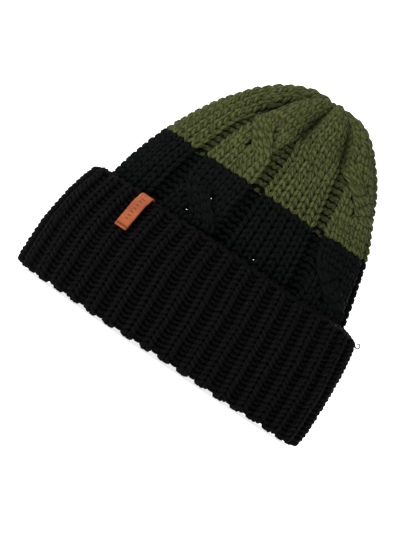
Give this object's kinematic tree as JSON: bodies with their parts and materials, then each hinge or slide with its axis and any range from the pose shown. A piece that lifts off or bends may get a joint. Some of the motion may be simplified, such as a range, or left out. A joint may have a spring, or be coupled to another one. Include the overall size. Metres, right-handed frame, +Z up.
{
  "type": "knit beanie",
  "caption": "Chunky cable-knit beanie with an olive crown, a black body, a turned-up black rib cuff and a small tan leather strip folded over the cuff's edge.",
  "frame": {"origin": "centre of the hem on the plane that the hat stands on", "axes": "+Z up the crown with the head opening facing down, +X to the right seen from the front, the front with the label looks along -Y"},
  "size_m": [0.236, 0.124, 0.2181],
  "materials": {
    "olive_yarn": "matte heathered chunky knit",
    "black_yarn": "matte heathered chunky cable knit",
    "black_rib_yarn": "matte heathered rib knit",
    "tan_leather": "smooth satin leather",
    "brown_thread": "twisted sewing thread"
  },
  "bodies": {
    "root": {"olive_crown": "olive_yarn", "crown_gather": "olive_yarn", "gather_thread": "olive_yarn", "gather_knot": "olive_yarn", "crown_seam": "olive_yarn", "black_body": "black_yarn", "body_seam": "black_yarn", "inner_brim": "black_rib_yarn", "brim_seam": "black_rib_yarn", "hem_fold": "black_rib_yarn", "outer_cuff": "black_rib_yarn", "cuff_seam": "black_rib_yarn", "cuff_edge": "black_rib_yarn", "yarn_loop": "black_rib_yarn", "leather_label": "tan_leather", "label_stitch_1": "brown_thread", "label_stitch_2": "brown_thread", "label_stitch_3": "brown_thread", "label_stitch_4": "brown_thread"}
  },
  "joints": []
}
